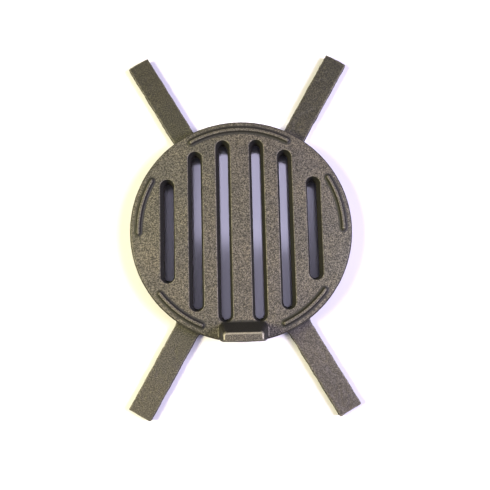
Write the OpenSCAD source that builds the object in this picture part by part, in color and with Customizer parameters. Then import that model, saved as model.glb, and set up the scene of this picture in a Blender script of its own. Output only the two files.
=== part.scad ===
// Round riddling fire grate: a slotted disc that turns on a four-armed frame.
// The origin is on the disc's axis, in the plane that the frame rests on.
// The push lug is at -Y, and the slots run along Y.

/* [Grate disc] */
// Diameter of the slotted disc
disc_d = 200; // [195:1:210]
// Thickness of the slotted disc
disc_t = 12; // [9:0.5:16]
// Bevel around the disc's upper edge
disc_bevel = 1.6; // [0.5:0.1:2.5]

/* [Slots] */
// Slots on each side of the middle web
slots_per_side = 3; // [1:1:3]
// Slot width at the upper face
slot_w = 13; // [10:0.5:15]
// How much narrower a slot is at the lower face
slot_taper = 4.8; // [2:0.2:7]
// Distance between neighbouring slots, centre to centre
slot_pitch = 25.4; // [22:0.2:27]
// Distance across the wide middle web, slot centre to slot centre
middle_pitch = 30.5; // [28:0.5:32]
// Radius of the circle that the slot ends touch
slot_field_r = 84; // [80:0.5:86]

/* [Ribs] */
// Radius of the ribs' centre line
rib_r = 92; // [90:0.5:94]
// Rib width at its foot
rib_w = 5; // [3:0.2:6]
// Rib width along its crest
rib_crest_w = 2; // [1:0.2:2.6]
// Rib height above the disc
rib_h = 2.4; // [1:0.2:4]
// Arc of the rear rib, in degrees
rear_rib_arc = 57; // [20:1:70]
// Arc of each side rib, in degrees
side_rib_arc = 30.5; // [15:0.5:40]
// Arc of each front rib, in degrees
front_rib_arc = 29; // [15:0.5:40]
// Direction of the right side rib's middle, in degrees from +X
side_rib_at = 14.5; // [5:0.5:25]
// Direction of the right front rib's middle, in degrees from +X
front_rib_at = -52; // [-55:1:-40]

/* [Push lug] */
// Lug height above the disc
lug_h = 32; // [20:1:45]
// Lug width at its foot
lug_w = 42.6; // [30:0.2:48]
// Lug width at its top
lug_top_w = 33; // [20:0.5:40]
// Distance from the axis to the lug's inner face, at its foot
lug_inner = 82.9; // [78:0.1:86]
// How far the inner face leans outwards over the lug's height
lug_inner_lean = 7.1; // [2:0.1:8]
// Distance from the axis to the lug's outer face, at its foot
lug_outer = 99.6; // [97:0.1:100]
// How far the outer face leans inwards over the lug's height
lug_outer_lean = 2.6; // [1:0.1:4]

/* [Frame] */
// Outer diameter of the carrier ring
ring_d = 198; // [190:1:199]
// Width of the carrier ring's flat, from bore to rim
ring_w = 13; // [11:0.5:13]
// Thickness of the carrier ring
ring_t = 6; // [4:0.5:10]
// Thickness of the tongues that lie under the ring
tongue_t = 4; // [3:0.5:6]
// Width of the bridge bar
bridge_w = 20.4; // [16:0.2:22]
// Width of the front arms, at the foot
front_arm_w = 22.8; // [16:0.2:24]
// Width of the rear arms, at the foot
rear_arm_w = 21.8; // [16:0.2:24]
// Thickness of the arms
arm_t = 8; // [7:0.5:9]
// Distance from the axis to a front arm's end
front_reach = 188; // [150:1:220]
// Distance from the axis to a rear arm's end
rear_reach = 190; // [150:1:220]
// Angle between each arm and the Y axis
arm_spread = 30; // [25:1:40]
// Radius of the fillet where an arm meets the ring's rim
fillet_r = 7; // [3:0.5:8]
// How much the sides of an arm lean in, on each side
arm_draft = 0.4; // [0.1:0.1:0.8]

/* [Rivets and pivot] */
// Rivet shank diameter
rivet_d = 5; // [4:0.5:6]
// Diameter of a rivet's countersunk head
rivet_head_d = 8.4; // [7:0.2:9]
// Depth of a rivet's countersunk head
rivet_head_t = 1.7; // [1:0.1:2]
// Distance between the two rivets at a joint
rivet_pitch = 11; // [9:0.5:11.5]
// Pivot pin diameter
pin_d = 10; // [8:0.5:12]
// Depth of the pin's socket in the disc
pin_socket = 8; // [5:0.5:8]
// Distance from the rest plane to the pin's lower end
pin_lift = 1; // [0.5:0.1:3]
// Diameter clearance of the pin in the bridge bar
pin_play = 0.16; // [0.04:0.02:0.2]

/* [Hidden] */
$fn = 96;

// Cutters run this far past the face that they open
cut = 1;
// Air between the turning disc and the frame under it
turn_gap = 0.3;
// Air between the bridge bar and the ring's bore
bridge_gap = 0.4;
// A rib's round ends stand in from its sides and crest by this much
end_inset = 0.1;

disc_r = disc_d / 2;
ring_r = ring_d / 2;
ring_bore_r = ring_r - ring_w;
ring_top = tongue_t + ring_t;
disc_z = ring_top + turn_gap;
disc_top = disc_z + disc_t;
rib_bead_r = rib_w / 2;
rib_end_r = rib_bead_r - end_inset;
rib_end_crest_r = rib_crest_w / 2 - end_inset;

arm_angles = [270 - arm_spread, 270 + arm_spread, 90 + arm_spread, 90 - arm_spread];
bridge_angles = [90, 270];
joint_r = ring_r - ring_w / 2;
tongue_start = ring_bore_r + bridge_gap;
bridge_half = sqrt(pow(ring_bore_r - bridge_gap, 2) - pow(bridge_w / 2, 2));
bridge_tip = sqrt(pow(ring_r - bridge_gap, 2) - pow(bridge_w / 2, 2));

slot_lean = slot_taper / 2 / disc_t;
slot_top_r = slot_w / 2 + slot_lean * cut;
slot_bottom_r = slot_w / 2 - slot_taper / 2 - slot_lean * cut;

// Distance from the disc's centre line to slot number i on either side
function slot_x(i) = middle_pitch / 2 + i * slot_pitch;

// Distance from the X axis to the centre of a slot's round end, to the nearest 0.1
function slot_end_y(x) = round(10 * sqrt(pow(slot_field_r - slot_w / 2, 2) - x * x)) / 10;

// A straight-sided slot with round ends, wider at the top
module slot_cutter(end_y) {
    depth = disc_t + 2 * cut;
    translate([0, end_y, 0])
        rotate([90, 0, 0])
            linear_extrude(height = 2 * end_y)
                polygon([
                    [-slot_bottom_r, 0],
                    [slot_bottom_r, 0],
                    [slot_top_r, depth],
                    [-slot_top_r, depth]
                ]);
    for (side = [-1, 1])
        translate([0, side * end_y, 0])
            cylinder(r1 = slot_bottom_r, r2 = slot_top_r, h = depth);
}

// A raised bead along an arc, with leaning sides and round ends
module rib(middle, arc) {
    rotate([0, 0, middle - arc / 2])
        rotate_extrude(angle = arc)
            polygon([
                [rib_r - rib_bead_r, -cut],
                [rib_r + rib_bead_r, -cut],
                [rib_r + rib_bead_r, 0],
                [rib_r + rib_crest_w / 2, rib_h],
                [rib_r - rib_crest_w / 2, rib_h],
                [rib_r - rib_bead_r, 0]
            ]);
    for (end = [middle - arc / 2, middle + arc / 2])
        rotate([0, 0, end])
            translate([rib_r, 0, 0]) {
                cylinder(r1 = rib_end_r, r2 = rib_end_crest_r, h = rib_h - end_inset);
                translate([0, 0, -cut])
                    cylinder(r = rib_end_r, h = cut);
            }
}

// The side view of the lug, drawn in Y and Z
module lug_side_view() {
    polygon([
        [-lug_outer, -cut],
        [-lug_inner, -cut],
        [-lug_inner, 0],
        [-lug_inner - lug_inner_lean, lug_h],
        [-lug_outer + lug_outer_lean, lug_h],
        [-lug_outer, 0]
    ]);
}

// The front view of the lug, drawn in X and Z
module lug_front_view() {
    polygon([
        [-lug_w / 2, -cut],
        [lug_w / 2, -cut],
        [lug_w / 2, 0],
        [lug_top_w / 2, lug_h],
        [-lug_top_w / 2, lug_h],
        [-lug_w / 2, 0]
    ]);
}

// The tapered upstand at the front rim that a poker pushes
module push_lug() {
    intersection() {
        translate([-lug_w, 0, 0])
            rotate([90, 0, 90])
                linear_extrude(height = 2 * lug_w)
                    lug_side_view();
        rotate([90, 0, 0])
            linear_extrude(height = disc_d)
                lug_front_view();
        translate([0, 0, -cut])
            cylinder(r = disc_r, h = lug_h + 2 * cut);
    }
}

// The plain round body of the disc, with its upper edge bevelled
module disc_blank() {
    rotate_extrude()
        polygon([
            [0, 0],
            [disc_r, 0],
            [disc_r, disc_t - disc_bevel],
            [disc_r - disc_bevel, disc_t],
            [0, disc_t]
        ]);
}

// Slotted iron disc, cast with its ribs and push lug
module grate_disc() {
    color([0.46, 0.43, 0.38])
        union() {
            translate([0, 0, disc_z])
                difference() {
                    disc_blank();
                    for (i = [0 : slots_per_side - 1])
                        for (side = [-1, 1])
                            translate([side * slot_x(i), 0, -cut])
                                slot_cutter(slot_end_y(slot_x(i)));
                    translate([0, 0, -cut])
                        cylinder(d = pin_d, h = pin_socket + cut);
                }
            translate([0, 0, disc_top]) {
                rib(90, rear_rib_arc);
                rib(side_rib_at, side_rib_arc);
                rib(180 - side_rib_at, side_rib_arc);
                rib(front_rib_at, front_rib_arc);
                rib(180 - front_rib_at, front_rib_arc);
                push_lug();
            }
        }
}

// Steel pin pressed up into the disc, free to turn in the bridge bar
module pivot_pin() {
    color([0.35, 0.34, 0.33])
        translate([0, 0, pin_lift])
            cylinder(d = pin_d, h = disc_z + pin_socket - pin_lift);
}

// The two places of a joint's rivets, on the ring in the direction given
module at_rivets(angle) {
    rotate([0, 0, angle])
        for (side = [-1, 1])
            translate([joint_r, side * rivet_pitch / 2, 0])
                children();
}

// One flush rivet from the rest plane to the ring's upper face
module rivet() {
    cylinder(d = rivet_d, h = ring_top);
    cylinder(d1 = rivet_head_d, d2 = rivet_d, h = rivet_head_t);
    translate([0, 0, ring_top - rivet_head_t])
        cylinder(d1 = rivet_d, d2 = rivet_head_d, h = rivet_head_t);
}

// Flat ring that the disc turns over, countersunk for the rivets
module carrier_ring() {
    color([0.42, 0.39, 0.35])
        difference() {
            translate([0, 0, tongue_t])
                cylinder(r = ring_r, h = ring_t);
            translate([0, 0, tongue_t - cut])
                cylinder(r = ring_bore_r, h = ring_t + 2 * cut);
            for (angle = concat(arm_angles, bridge_angles))
                at_rivets(angle)
                    rivet();
        }
}

// The long body of an arm along +X, with its leaning sides
module arm_bar(width, reach) {
    translate([tongue_start, 0, 0])
        rotate([90, 0, 90])
            linear_extrude(height = reach - tongue_start)
                polygon([
                    [-width / 2, 0],
                    [width / 2, 0],
                    [width / 2 - arm_draft, arm_t],
                    [-width / 2 + arm_draft, arm_t]
                ]);
}

// The flared foot of an arm, which runs out into the ring's rim
module arm_flare(width) {
    fillet_y = width / 2 + fillet_r;
    fillet_x = sqrt(pow(ring_r + fillet_r, 2) - pow(fillet_y, 2));
    flare_half = fillet_y * ring_r / (ring_r + fillet_r) - arm_draft;
    flare_start = ring_r - ring_w / 4;
    difference() {
        translate([flare_start, -flare_half, 0])
            cube([fillet_x - flare_start, 2 * flare_half, arm_t]);
        for (side = [-1, 1])
            translate([fillet_x, side * fillet_y, 0])
                cylinder(r1 = fillet_r, r2 = fillet_r + arm_draft, h = arm_t);
    }
}

// One arm, with a tongue that lies under the ring and two rivet holes
module support_arm(angle, width, reach) {
    color([0.42, 0.39, 0.34])
        difference() {
            rotate([0, 0, angle]) {
                arm_bar(width, reach);
                arm_flare(width);
            }
            translate([0, 0, tongue_t])
                cylinder(r = ring_r, h = ring_t);
            at_rivets(angle)
                rivet();
        }
}

module arm_front_left() {
    support_arm(arm_angles[0], front_arm_w, front_reach);
}

module arm_front_right() {
    support_arm(arm_angles[1], front_arm_w, front_reach);
}

module arm_rear_left() {
    support_arm(arm_angles[2], rear_arm_w, rear_reach);
}

module arm_rear_right() {
    support_arm(arm_angles[3], rear_arm_w, rear_reach);
}

// Bar across the ring, hidden under the disc's middle web, that holds the pin
module bridge_bar() {
    color([0.40, 0.38, 0.34])
        difference() {
            union() {
                translate([-bridge_w / 2, -bridge_half, 0])
                    cube([bridge_w, 2 * bridge_half, ring_top]);
                translate([-bridge_w / 2, -bridge_tip, 0])
                    cube([bridge_w, 2 * bridge_tip, tongue_t]);
            }
            translate([0, 0, -cut])
                cylinder(d = pin_d + pin_play, h = ring_top + 2 * cut);
            for (angle = bridge_angles)
                at_rivets(angle)
                    rivet();
        }
}

// Two rivets through the ring and each arm's tongue
module arm_rivets() {
    color([0.33, 0.32, 0.31])
        for (angle = arm_angles)
            at_rivets(angle)
                rivet();
}

// Two rivets through the ring and each end of the bridge bar
module bridge_rivets() {
    color([0.33, 0.32, 0.31])
        for (angle = bridge_angles)
            at_rivets(angle)
                rivet();
}

grate_disc();
pivot_pin();
carrier_ring();
bridge_bar();
arm_front_left();
arm_front_right();
arm_rear_left();
arm_rear_right();
arm_rivets();
bridge_rivets();
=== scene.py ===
import math

import bmesh
import bpy
import numpy as np
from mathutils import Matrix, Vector


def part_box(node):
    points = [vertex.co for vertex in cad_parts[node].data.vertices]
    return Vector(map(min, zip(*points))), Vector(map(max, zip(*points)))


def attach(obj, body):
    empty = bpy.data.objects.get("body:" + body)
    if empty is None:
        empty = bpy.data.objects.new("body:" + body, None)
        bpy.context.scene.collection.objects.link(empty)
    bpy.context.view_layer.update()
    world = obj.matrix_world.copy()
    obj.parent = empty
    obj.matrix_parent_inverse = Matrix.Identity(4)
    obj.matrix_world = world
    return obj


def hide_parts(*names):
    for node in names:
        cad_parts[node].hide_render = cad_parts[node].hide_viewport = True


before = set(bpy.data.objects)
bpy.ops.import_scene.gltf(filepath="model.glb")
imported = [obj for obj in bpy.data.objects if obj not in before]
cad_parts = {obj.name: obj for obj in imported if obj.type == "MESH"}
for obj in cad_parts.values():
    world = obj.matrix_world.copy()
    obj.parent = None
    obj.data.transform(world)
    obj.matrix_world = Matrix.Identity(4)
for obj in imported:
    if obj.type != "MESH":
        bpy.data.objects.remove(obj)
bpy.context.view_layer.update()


# ---- Carrier ring --------------------------------------------------------------------------
# The flat ring that the disc turns over: grey iron poured in green sand, left as it was cast,
# with a countersunk hole at each rivet. Its edges are softened by the pattern.


def settle(piece):
    """The piece's modifiers become its mesh."""
    solid = piece.evaluated_get(bpy.context.evaluated_depsgraph_get())
    mesh = bpy.data.meshes.new_from_object(solid)
    piece.modifiers.clear()
    piece.data = mesh


def read_points(mesh):
    """The places of the skin's points, one to a row."""
    points = np.empty(len(mesh.vertices) * 3, np.float32)
    mesh.vertices.foreach_get("co", points)
    return points.reshape(-1, 3).astype(float)


def mark(mesh, name, values):
    """A value at each point of the skin, which the finish reads by its name."""
    layer = mesh.attributes.new(name, "FLOAT", "POINT")
    layer.data.foreach_set("value", values.clip(0, 1).astype(np.float32))


def mark_wear_and_shade(piece, tight_radius, corner_shade_spread):
    """Marks the rubbed edges for wear, and the concave corners and the steep sides for painted shade."""
    mesh = piece.data
    count = len(mesh.vertices)
    points = read_points(mesh)
    normals = np.empty(count * 3, np.float32)
    mesh.vertex_normals.foreach_get("vector", normals)
    normals = normals.reshape(-1, 3).astype(float)
    ends = np.empty(len(mesh.edges) * 2, np.int32)
    mesh.edges.foreach_get("vertices", ends)
    first, second = ends.reshape(-1, 2).T
    neighbours = np.bincount(ends, minlength=count).clip(1)

    def around(values):
        total = np.bincount(first, values[second], count) + np.bincount(second, values[first], count)
        return total / neighbours

    # On a bend of radius r, a point stands off the middle of its neighbours by spacing**2 / 4r,
    # so a bend of the tight radius or tighter gets the full mark.
    middle = np.stack([around(points[:, axis]) for axis in range(3)], axis=1)
    spacing = np.median(np.linalg.norm(points[first] - points[second], axis=1))
    bend = ((middle - points) * normals).sum(1) / spacing**2 * 4 * tight_radius
    # Convex bends get the edge mark, for wear; concave bends get the corner mark, for painted shade.
    for name, side, passes in (("edge", -1, 1), ("corner", 1, corner_shade_spread)):
        strength = (side * bend).clip(0, 1)
        for _ in range(passes):
            strength = (strength + around(strength)) / 2
        thinned = 1 + passes / 2
        mark(mesh, name, strength * thinned)
    # Steep sides get a mark for painted shade: the finish paints them near black.
    steep = 1 - normals[:, 2]
    mark(mesh, "steep", (steep + around(steep)) / 2)


def raise_lumps(piece, layers):
    """Raises the skin in lumps of sand: each layer is the lumps' size and their height."""
    for size, height in layers:
        lumps = bpy.data.textures.new(f"{piece.name} lumps", "CLOUDS")
        lumps.noise_scale = size
        lumps.noise_depth = 2
        raised = piece.modifiers.new("sand lumps", "DISPLACE")
        raised.texture = lumps
        raised.texture_coords = "LOCAL"
        raised.strength = height
        raised.mid_level = 0.5
    settle(piece)


def keep_inside(piece, low, high):
    """No lump stands past the casting's own space, so its flat seats stay flat."""
    mesh = piece.data
    points = np.clip(read_points(mesh), np.array(low), np.array(high))
    mesh.vertices.foreach_set("co", points.astype(np.float32).ravel())
    mesh.update()


def casting(node, name, grain, rounding, lumps, fillet=None):
    """A sand-cast piece on the exact shape of its CAD node, in an even skin of small faces."""
    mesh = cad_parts[node].data.copy()
    mesh.materials.clear()
    shape = bmesh.new()
    shape.from_mesh(mesh)
    bmesh.ops.remove_doubles(shape, verts=shape.verts, dist=1e-6)
    shape.to_mesh(mesh)
    shape.free()
    piece = bpy.data.objects.new(name, mesh)
    bpy.context.scene.collection.objects.link(piece)
    skin = piece.modifiers.new("even skin", "REMESH")
    skin.mode = "VOXEL"
    skin.voxel_size = grain
    skin.use_smooth_shade = True
    rub = piece.modifiers.new("rounded edges", "SMOOTH")
    rub.factor = 0.5
    rub.iterations = rounding
    settle(piece)
    if fillet:
        fillet(piece)
    mark_wear_and_shade(piece, tight_radius=0.0012, corner_shade_spread=3)
    raise_lumps(piece, lumps)
    keep_inside(piece, *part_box(node))
    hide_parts(node)
    return piece


def cast_iron(name, body, contrast, seed):
    """Dull grey-brown iron: speckled skin, faint patches and worn edges, with painted shade on the steep
    sides and in the corners, and the lug's lightened edges partly wear and partly painted highlight.
    """
    iron = bpy.data.materials.new(name)
    iron.use_nodes = True
    nodes = iron.node_tree.nodes
    link = iron.node_tree.links.new
    shader = nodes["Principled BSDF"]
    shader.inputs["Metallic"].default_value = 0.2
    shader.inputs["IOR"].default_value = 1.52

    place = nodes.new("ShaderNodeTexCoord")
    shifted = nodes.new("ShaderNodeMapping")
    shifted.inputs["Location"].default_value = (seed, seed * 0.37, seed * 0.73)
    link(place.outputs["Object"], shifted.inputs["Vector"])

    def noise(scale, detail, roughness):
        """Grains of an even size: the scale is the number of them in a metre."""
        texture = nodes.new("ShaderNodeTexNoise")
        texture.inputs["Scale"].default_value = scale
        texture.inputs["Detail"].default_value = detail
        texture.inputs["Roughness"].default_value = roughness
        link(shifted.outputs["Vector"], texture.inputs["Vector"])
        return texture.outputs["Fac"]

    def ramp(value, *stops):
        """Turns a value into a tone, through stops of the value and its tone."""
        graded = nodes.new("ShaderNodeValToRGB")
        points = graded.color_ramp.elements
        while len(points) < len(stops):
            points.new(0.5)
        for point, (position, colour) in zip(points, stops):
            point.position = position
            point.color = colour if isinstance(colour, tuple) else (colour, colour, colour, 1)
        link(value, graded.inputs["Fac"])
        return graded.outputs["Color"]

    def blend(kind, share, under, over):
        mix = nodes.new("ShaderNodeMix")
        mix.data_type = "RGBA"
        mix.blend_type = kind
        under_colour, over_colour = mix.inputs[6:8]
        for socket, value in ((mix.inputs["Factor"], share), (under_colour, under), (over_colour, over)):
            if isinstance(value, (float, tuple)):
                socket.default_value = value
            else:
                link(value, socket)
        blended_colour = mix.outputs[2]
        return blended_colour

    def marked(attribute):
        found = nodes.new("ShaderNodeAttribute")
        found.attribute_name = attribute
        return found.outputs["Fac"]

    speckle = noise(1050, 3, 0.65)
    sand = noise(2300, 2, 0.6)
    patches = noise(28, 4, 0.6)
    drift = noise(8, 2, 0.5)

    pit = max(0.1, 1 - 0.6 * contrast)
    bright_grain = 1 + 1.1 * contrast
    bluish, brownish = (0.86, 0.87, 0.92, 1), (1.1, 1.08, 1.02, 1)
    greenish, reddish = (1.0, 1.01, 0.97, 1), (1.01, 0.98, 1.02, 1)
    colour = body
    for tone in (
        ramp(speckle, (0.36, pit), (0.5, 0.96), (0.64, bright_grain)),
        ramp(sand, (0.32, 0.78), (0.68, 1.24)),
        ramp(patches, (0.36, bluish), (0.64, brownish)),
        ramp(drift, (0.4, greenish), (0.6, reddish)),
    ):
        colour = blend("MULTIPLY", 1.0, colour, tone)

    # Each mark: where it is, its colour and how dull it is. The steep and corner marks are painted shade,
    # the edge mark is wear, and the lug's lightened edges are partly wear and partly painted highlight.
    # Steep sides: painted shade, near black.
    steep_shade_share = ramp(marked("steep"), (0.1, 0.0), (0.4, 0.92))
    # Concave corners: painted shade, near black.
    corner_shade_share = ramp(marked("corner"), (0.08, 0.0), (0.45, 0.92))
    rub_share = ramp(marked("edge"), (0.3, 0.0), (1.0, 0.6))
    rub_share = blend("MULTIPLY", 1.0, rub_share, ramp(speckle, (0.4, 0.2), (0.6, 1.0)))
    # The lug's lightened edges: partly wear, partly painted highlight.
    bare_and_highlight_share = ramp(marked("bare_and_highlight"), (0.15, 0.0), (0.8, 0.95))
    bare_and_highlight_share = blend("MULTIPLY", 1.0, bare_and_highlight_share, ramp(speckle, (0.36, 0.5), (0.5, 1.0)))
    dull = ramp(speckle, (0.35, 0.7), (0.65, 0.46))
    for share, tint, dullness in (
        # painted shade on the steep sides
        (steep_shade_share, (0.0062, 0.0058, 0.0054, 1), 0.85),
        # painted shade in the concave corners
        (corner_shade_share, (0.008, 0.0075, 0.0065, 1), None),
        (rub_share, (0.2, 0.185, 0.155, 1), 0.34),
        # partly wear and partly painted highlight on the lug's edges
        (bare_and_highlight_share, (0.26, 0.24, 0.2, 1), 0.3),
    ):
        colour = blend("MIX", share, colour, tint)
        if dullness:
            dull = blend("MIX", share, dull, (dullness, dullness, dullness, 1))
    link(colour, shader.inputs["Base Color"])
    link(dull, shader.inputs["Roughness"])

    pebbled = nodes.new("ShaderNodeBump")
    pebbled.inputs["Strength"].default_value = 0.7
    pebbled.inputs["Distance"].default_value = 0.00035
    link(speckle, pebbled.inputs["Height"])
    gritty = nodes.new("ShaderNodeBump")
    gritty.inputs["Strength"].default_value = 0.5
    gritty.inputs["Distance"].default_value = 0.0001
    link(sand, gritty.inputs["Height"])
    link(pebbled.outputs["Normal"], gritty.inputs["Normal"])
    link(gritty.outputs["Normal"], shader.inputs["Normal"])
    return iron


ring_lumps = ((0.01, 0.0002), (0.0024, 0.0001))
ring = casting("carrier_ring", "ring_casting", grain=0.0009, rounding=2, lumps=ring_lumps)
ring_iron = cast_iron("ring iron", (0.056, 0.051, 0.042, 1), contrast=0.9, seed=5.3)
ring.data.materials.append(ring_iron)
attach(ring, "frame")


# ---- Bridge bar ----------------------------------------------------------------------------
# A straight cast bar across the ring, under the disc's middle web. It is bored for the pivot,
# and the lip at each of its ends lies under the ring.

bridge = casting("bridge_bar", "bridge_casting", grain=0.0009, rounding=2, lumps=ring_lumps)
bridge.data.materials.append(ring_iron)
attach(bridge, "frame")


# ---- Arms ----------------------------------------------------------------------------------
# Four flat cast bars that lie on the ledge of the fire pot. Each has a flared foot at the ring's
# rim, a tongue under the ring, and ragged edges where the sand broke away. The rear pair gets a
# darker colour than the front pair as painted shade, and each root gets painted shade under the disc's
# edge.


def paint_overhang_shade(piece, unshaded_from, darkest_at):
    """Paints shade where the disc's edge hangs over a piece, by raising its corner mark there."""
    reach = np.hypot(*read_points(piece.data)[:, :2].T)
    layer = piece.data.attributes["corner"].data
    corner_values = np.empty(len(reach), np.float32)
    layer.foreach_get("value", corner_values)
    # Painted shade: full under the disc's edge, fading out just beyond it.
    overhang_shade = ((unshaded_from - reach) / (unshaded_from - darkest_at)).clip(0, 1)
    layer.foreach_set("value", np.maximum(corner_values, overhang_shade).astype(np.float32))


arm_lumps = ((0.011, 0.0009), (0.004, 0.0004), (0.002, 0.00014))
for node, name, body, contrast, seed in (
    ("arm_front_left", "front_left_bar", (0.0385, 0.0345, 0.029, 1), 1.6, 2.1),
    ("arm_front_right", "front_right_bar", (0.0455, 0.0402, 0.036, 1), 1.0, 3.4),
    # The rear pair's darker body colours are painted shade.
    ("arm_rear_left", "rear_left_bar", (0.024, 0.0222, 0.0148, 1), 2.0, 6.7),
    ("arm_rear_right", "rear_right_bar", (0.0238, 0.0216, 0.0146, 1), 1.8, 8.2),
):
    arm = casting(node, name, grain=0.0007, rounding=3, lumps=arm_lumps)
    arm.data.materials.append(cast_iron(f"{name} iron", body, contrast, seed))
    # Painted shade on each arm's root under the disc's edge.
    paint_overhang_shade(arm, unshaded_from=0.1025, darkest_at=0.1)
    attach(arm, "frame")


# ---- Rivets --------------------------------------------------------------------------------
# Soft steel rivets, set hot and filed flush with both faces. Two hold each arm's tongue and
# two hold each end of the bridge bar, all on one circle round the ring.


def turned_mesh(name, profile, centres, steps):
    """Pieces turned on a lathe: a profile of (radius, height) points, swept round each centre."""
    shape = bmesh.new()
    for centre_x, centre_y in centres:
        rings = []
        for radius, height in profile:
            turns = steps if radius else 1
            rings.append([
                shape.verts.new((
                    centre_x + radius * math.cos(math.tau * turn / turns),
                    centre_y + radius * math.sin(math.tau * turn / turns),
                    height,
                ))
                for turn in range(turns)
            ])
        for lower, upper in zip(rings, rings[1:]):
            for turn in range(steps):
                corners = [
                    lower[turn % len(lower)],
                    lower[(turn + 1) % len(lower)],
                    upper[(turn + 1) % len(upper)],
                    upper[turn % len(upper)],
                ]
                shape.faces.new(list(dict.fromkeys(corners))).smooth = True
    bmesh.ops.recalc_face_normals(shape, faces=shape.faces)
    mesh = bpy.data.meshes.new(name)
    shape.to_mesh(mesh)
    shape.free()
    piece = bpy.data.objects.new(name, mesh)
    bpy.context.scene.collection.objects.link(piece)
    return piece


def dark_steel(name, body, scale, shine, dullness):
    """Steel under a thin dark oxide, with flakes of scale and a dull shine."""
    steel = bpy.data.materials.new(name)
    steel.use_nodes = True
    nodes = steel.node_tree.nodes
    link = steel.node_tree.links.new
    shader = nodes["Principled BSDF"]
    shader.inputs["Metallic"].default_value = 0.85
    place = nodes.new("ShaderNodeTexCoord")
    flakes = nodes.new("ShaderNodeTexNoise")
    flakes.inputs["Scale"].default_value = scale
    flakes.inputs["Detail"].default_value = 5
    link(place.outputs["Object"], flakes.inputs["Vector"])
    colour = nodes.new("ShaderNodeValToRGB")
    colour.color_ramp.elements[0].position = 0.36
    colour.color_ramp.elements[0].color = tuple(part * 0.45 for part in body[:3]) + (1,)
    colour.color_ramp.elements[1].position = 0.64
    colour.color_ramp.elements[1].color = body
    link(flakes.outputs["Fac"], colour.inputs["Fac"])
    link(colour.outputs["Color"], shader.inputs["Base Color"])
    dull = nodes.new("ShaderNodeMapRange")
    dull.inputs["To Min"].default_value = dullness
    dull.inputs["To Max"].default_value = shine
    link(flakes.outputs["Fac"], dull.inputs["Value"])
    link(dull.outputs["Result"], shader.inputs["Roughness"])
    raised = nodes.new("ShaderNodeBump")
    raised.inputs["Strength"].default_value = 0.5
    raised.inputs["Distance"].default_value = 0.0001
    link(flakes.outputs["Fac"], raised.inputs["Height"])
    link(raised.outputs["Normal"], shader.inputs["Normal"])
    return steel


head_radius = 0.0042
head_lip = head_radius - 0.00008
shank_radius = 0.0025
head_depth = 0.0017
rivet_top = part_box("carrier_ring")[1].z
end_rivets_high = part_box("bridge_rivets")[1]
half_pitch = end_rivets_high.x - head_radius
rivet_circle = end_rivets_high.y - head_radius
head_profile = [
    (0, 0.00002),
    (head_radius * 0.6, 0.00008),
    (head_radius * 0.9, 0.00022),
    (head_lip, 0.00045),
    (shank_radius, head_depth),
]
upper_head_profile = [(radius, rivet_top - depth) for radius, depth in reversed(head_profile)]
rivet_profile = head_profile + upper_head_profile
rivet_steel = dark_steel("rivet steel", (0.16, 0.15, 0.14, 1), 700, shine=0.38, dullness=0.62)
front, rear = -90, 90
arm_lean = 30
for node, name, directions in (
    ("arm_rivets", "arm_rivet_set", (front - arm_lean, front + arm_lean, rear - arm_lean, rear + arm_lean)),
    ("bridge_rivets", "bridge_rivet_set", (front, rear)),
):
    centres = []
    for direction in directions:
        outwards = Vector((math.cos(math.radians(direction)), math.sin(math.radians(direction))))
        sideways = outwards.orthogonal()
        for side in (-1, 1):
            centres.append(outwards * rivet_circle + sideways * side * half_pitch)
    rivets = turned_mesh(name, rivet_profile, centres, steps=40)
    rivets.data.materials.append(rivet_steel)
    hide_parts(node)
    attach(rivets, "frame")


# ---- Pivot pin -----------------------------------------------------------------------------
# A short turned steel pin, driven up into the disc's middle web. Its lower end turns in the
# bridge bar's bore, and is chamfered so that the disc drops back into place.

pin_low, pin_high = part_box("pivot_pin")
pin_radius = (pin_high.x - pin_low.x) / 2
pin_chamfer = 0.0008
centre_drill = 0.0012
softened = 0.0001
pin_profile = [
    (0, pin_low.z + centre_drill),
    (centre_drill, pin_low.z + softened),
    (centre_drill + 2 * softened, pin_low.z),
    (pin_radius - pin_chamfer - softened, pin_low.z),
    (pin_radius - pin_chamfer, pin_low.z + softened / 2),
    (pin_radius - softened, pin_low.z + pin_chamfer),
    (pin_radius, pin_low.z + pin_chamfer + softened),
    (pin_radius, pin_high.z - 2 * softened),
    (pin_radius - 2 * softened, pin_high.z),
    (0, pin_high.z),
]
pivot = turned_mesh("turned_pin", pin_profile, [(0, 0)], steps=64)
pivot.data.materials.append(dark_steel("pin steel", (0.34, 0.33, 0.31, 1), 900, shine=0.3, dullness=0.5))
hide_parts("pivot_pin")
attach(pivot, "grate")


# ---- Grate disc ----------------------------------------------------------------------------
# One casting: the slotted disc with its five rim ribs and the push lug. The lug runs out into
# the disc in a wide fillet, and its top is rounded, with its upper edges lightened as poker wear and
# painted highlight.

disc_low, disc_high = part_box("grate_disc")
lug_height = 0.032
disc_top = disc_high.z - lug_height
lug_half, lug_side_lean = 0.0213, 0.0048
lug_inner, lug_inner_lean = 0.0829, 0.0071
fillet_half = 0.026


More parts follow.
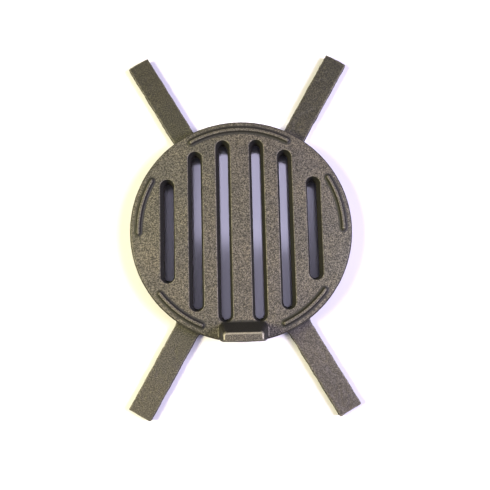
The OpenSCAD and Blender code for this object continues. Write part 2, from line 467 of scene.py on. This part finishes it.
def fillet_lug(piece):
    """Rounds the lug's upright inner corners, then softens the whole lug and its foot."""
    fillet_start = 0.0795
    feather_start, feather = 0.0004, 0.0006
    mesh = piece.data
    points = read_points(mesh)
    x, y, z = points.T
    above = ((z - disc_top + feather_start) / feather).clip(0, 1)
    above[(abs(x) > fillet_half) | (y > -fillet_start)] = 0
    rise = ((z - disc_top) / lug_height).clip(0, 1)
    corner_radius = 0.0034 - 0.0008 * rise
    centre_x = lug_half - lug_side_lean * rise - corner_radius
    centre_y = -lug_inner - lug_inner_lean * rise - corner_radius
    out_x, out_y = abs(x) - centre_x, y - centre_y
    length = np.hypot(out_x, out_y)
    outside = (above > 0) & (z > disc_top) & (out_x > 0) & (out_y > 0) & (length > corner_radius)
    pull = corner_radius / length
    points[outside, 0] = (np.sign(x) * (centre_x + out_x * pull))[outside]
    points[outside, 1] = (centre_y + out_y * pull)[outside]
    mesh.vertices.foreach_set("co", points.astype(np.float32).ravel())
    group = piece.vertex_groups.new(name="lug")
    for index in np.flatnonzero(above > 0):
        group.add([int(index)], float(above[index]), "REPLACE")
    round_off = piece.modifiers.new("lug fillets", "SMOOTH")
    round_off.factor = 0.5
    round_off.iterations = 7
    round_off.vertex_group = "lug"
    settle(piece)
    piece.vertex_groups.clear()


def wear_and_highlight_lug(piece):
    """Lightens the lug's upper edges, partly as poker wear and partly as painted highlight, and paints a
    highlight on the feet of its sides in place of their corner shade.
    """
    rim_depth, rim_end = 0.004, 0.0955
    foot_height, foot_from, foot_start = 0.006, 0.018, 0.0835
    skin_depth = 0.0006
    mesh = piece.data
    x, y, z = read_points(mesh).T
    values = {}
    for name in ("edge", "corner"):
        values[name] = np.empty(len(x), np.float32)
        mesh.attributes[name].data.foreach_get("value", values[name])
    on_lug = (abs(x) < fillet_half) & (z > disc_top - skin_depth)
    upper = on_lug & (z > disc_high.z - rim_depth) & (y > -rim_end)
    foot = on_lug & (abs(x) > foot_from) & (y < -foot_start) & (z < disc_top + foot_height)
    bare_and_highlight = np.zeros(len(x))
    # Upper edges: partly poker wear, partly painted highlight.
    bare_and_highlight[upper] = values["edge"][upper] * 1.6
    # Feet of the sides: painted highlight.
    bare_and_highlight[foot] = values["corner"][foot] * 0.3
    mark(mesh, "bare_and_highlight", bare_and_highlight)
    # The feet of the sides lose their painted corner shade.
    corner_without_feet = values["corner"]
    corner_without_feet[foot] = 0
    mesh.attributes["corner"].data.foreach_set("value", corner_without_feet)


disc_lumps = ((0.012, 0.0002), (0.0022, 0.00016))
disc = casting(
    "grate_disc", "slotted_disc", grain=0.0006, rounding=1, lumps=disc_lumps, fillet=fillet_lug
)
wear_and_highlight_lug(disc)
disc.data.materials.append(cast_iron("disc iron", (0.0465, 0.0418, 0.0338, 1), contrast=1.9, seed=1.7))
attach(disc, "grate")


# ---- Floor, light and camera ---------------------------------------------------------------
# A plain pale satin table top under soft studio light: a warm box on the left, a cool box on
# the right and two weak panels overhead, which gleam on the table top under the slots. The
# camera looks down from above the lug's side.

disc_across = disc_high.x - disc_low.x
floor_reach = 30 * disc_across
floor_mesh = bpy.data.meshes.new("floor")
floor_mesh.from_pydata(
    [
        (-floor_reach, -floor_reach, 0),
        (floor_reach, -floor_reach, 0),
        (floor_reach, floor_reach, 0),
        (-floor_reach, floor_reach, 0),
    ],
    [],
    [(0, 1, 2, 3)],
)
floor = bpy.data.objects.new("floor", floor_mesh)
bpy.context.scene.collection.objects.link(floor)
floor_paint = bpy.data.materials.new("pale floor")
floor_paint.use_nodes = True
floor_shader = floor_paint.node_tree.nodes["Principled BSDF"]
floor_shader.inputs["Base Color"].default_value = (0.88, 0.87, 0.98, 1)
floor_shader.inputs["Metallic"].default_value = 0.2
floor_shader.inputs["Roughness"].default_value = 0.13
floor_mesh.materials.append(floor_paint)


def soft_box(name, position, width, length, power, colour):
    lamp = bpy.data.lights.new(name, "AREA")
    lamp.shape = "RECTANGLE"
    lamp.size = width
    lamp.size_y = length
    lamp.energy = power
    lamp.color = colour
    box = bpy.data.objects.new(name, lamp)
    box.location = position
    box.rotation_mode = "QUATERNION"
    box.rotation_quaternion = (-Vector(position)).to_track_quat("-Z", "Y")
    box.visible_camera = False
    bpy.context.scene.collection.objects.link(box)


soft_box("warm box", (-0.69, -0.05, 0.8), 0.35, 0.35, power=18.6, colour=(1.0, 0.93, 0.54))
soft_box("cool box", (0.69, -0.04, 0.8), 0.5, 0.5, power=18.0, colour=(0.88, 0.81, 1.0))
soft_box("overhead panel", (0.035, 0.34, 1.2), 0.36, 0.42, power=0.98, colour=(0.82, 0.79, 1.0))
soft_box("low panel", (0.05, 0.0, 1.2), 0.4, 0.22, power=0.16, colour=(0.82, 0.79, 1.0))

room = bpy.data.worlds.new("studio")
room.use_nodes = True
room_light = room.node_tree.nodes["Background"]
room_light.inputs["Color"].default_value = (0.88, 0.85, 1.0, 1)
room_light.inputs["Strength"].default_value = 0.08
bpy.context.scene.world = room
bpy.context.scene.view_settings.view_transform = "Standard"

camera_back = 0.347 * disc_across
camera_up = 2.33 * disc_across
tip, lean, turn = 6.73, -0.44, -1.37
camera = bpy.data.objects.new("camera", bpy.data.cameras.new("camera"))
camera.data.sensor_width = 36
camera.data.lens = 38.6
camera.location = (-0.0005, -camera_back, disc_top + camera_up)
camera.rotation_mode = "ZYX"
camera.rotation_euler = (math.radians(tip), math.radians(lean), math.radians(turn))
bpy.context.scene.collection.objects.link(camera)
bpy.context.scene.camera = camera
